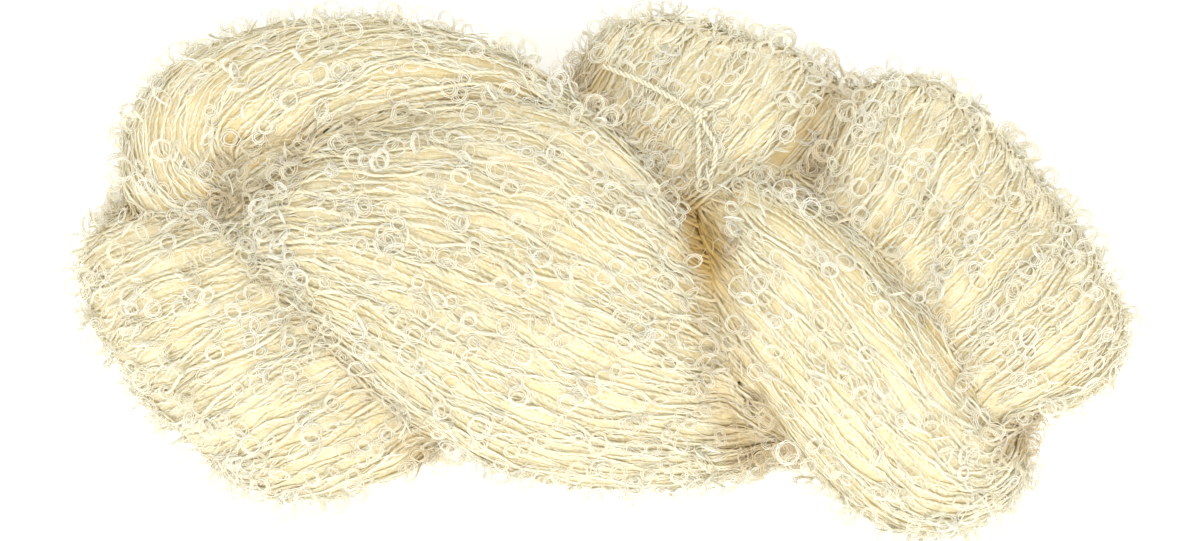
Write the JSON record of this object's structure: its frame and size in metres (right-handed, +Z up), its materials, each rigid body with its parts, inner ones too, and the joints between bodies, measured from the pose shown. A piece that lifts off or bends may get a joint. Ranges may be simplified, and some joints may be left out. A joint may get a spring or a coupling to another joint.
{
  "type": "boucle yarn hank",
  "caption": "Wound skein of looped boucle yarn, twisted on itself into a hank of crossing plies, tied with a short knotted yarn.",
  "frame": {"origin": "the middle of the hank's footprint, on the surface that it lies on", "axes": "+X along the hank towards the end with the smaller crossing, +Y away from the front edge towards the upper lobe, +Z up"},
  "size_m": [0.2466, 0.123, 0.0945],
  "materials": {
    "boucle_yarn": "undyed cream mohair boucle, loosely plied with small rings and a fine halo of hair",
    "tie_yarn": "undyed cream twisted yarn, soft and matt"
  },
  "bodies": {
    "root": {"hank": "boucle_yarn", "tie": "tie_yarn"}
  },
  "joints": []
}
